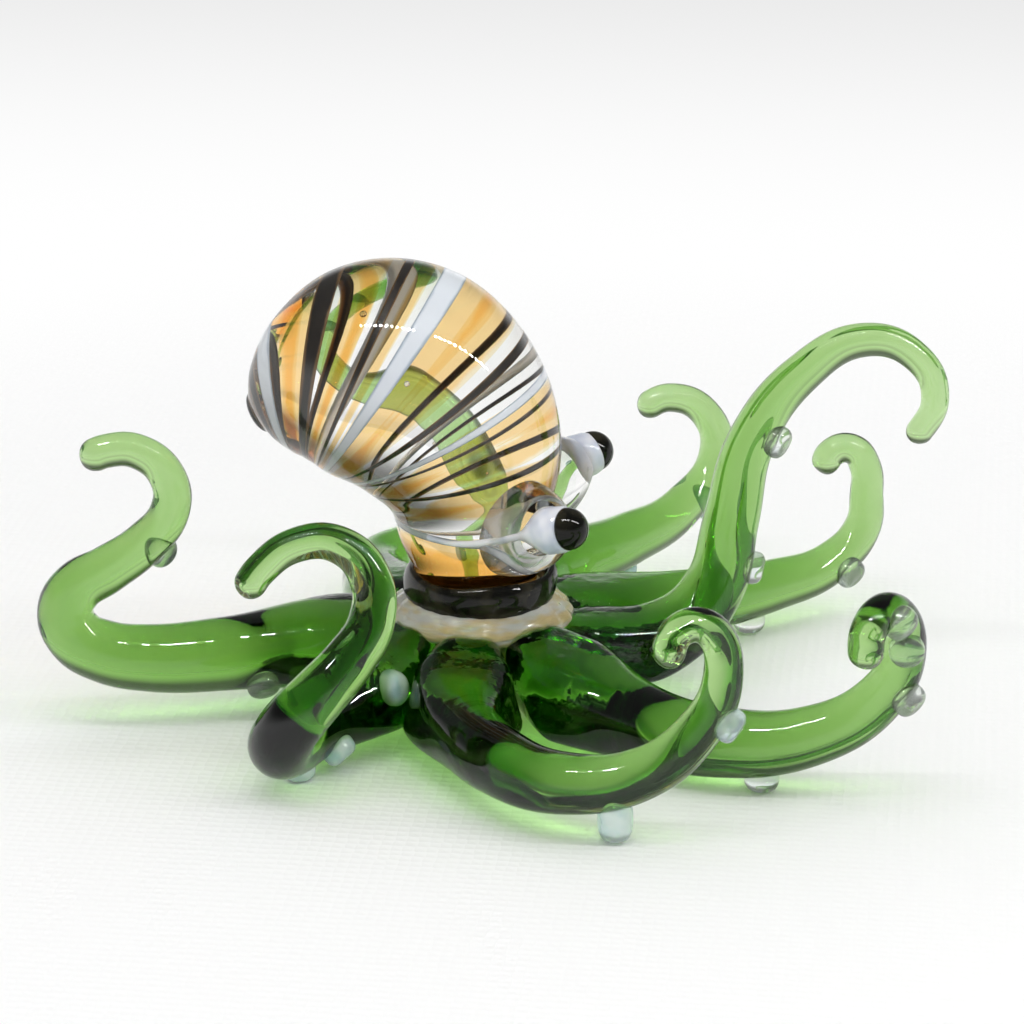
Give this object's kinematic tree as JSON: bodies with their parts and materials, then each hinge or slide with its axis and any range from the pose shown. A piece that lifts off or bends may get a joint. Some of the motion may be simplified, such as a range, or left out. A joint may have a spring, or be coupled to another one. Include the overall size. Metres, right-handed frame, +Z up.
{
  "type": "octopus figurine",
  "caption": "Lampworked glass octopus that stands on its suckers, with a striped clear mantle, black neck, bead eyes and curled green arms.",
  "frame": {"origin": "middle of the footprint, on the surface that the suckers stand on", "axes": "+X the way the octopus faces, +Y to its left, +Z up"},
  "size_m": [0.0889, 0.0849, 0.0458],
  "materials": {
    "green_glass": "fire-polished",
    "clear_glass": "fire-polished",
    "hub_glass": "fire-polished",
    "black_glass": "fire-polished",
    "white_glass": "fire-polished",
    "amber_glass": "fire-polished",
    "opal_glass": "fire-polished"
  },
  "bodies": {
    "root": {"arm_front": "green_glass", "arm_front_left": "green_glass", "arm_front_right": "green_glass", "arm_left": "green_glass", "arm_rear": "green_glass", "arm_rear_left": "green_glass", "arm_rear_right": "green_glass", "arm_right": "green_glass", "eye_pad_left": "clear_glass", "eye_pad_right": "clear_glass", "eyeball_left": "white_glass", "eyeball_right": "white_glass", "hub": "hub_glass", "mantle_amber_stripes": "amber_glass", "mantle_black_stripes": "black_glass", "mantle_bulb": "clear_glass", "mantle_white_stripes": "white_glass", "neck_band": "black_glass", "pupil_left": "black_glass", "pupil_right": "black_glass", "suckers_front": "opal_glass", "suckers_front_left": "opal_glass", "suckers_front_right": "opal_glass", "suckers_left": "opal_glass", "suckers_rear": "opal_glass", "suckers_rear_left": "opal_glass", "suckers_rear_right": "opal_glass", "suckers_right": "opal_glass"}
  },
  "joints": []
}
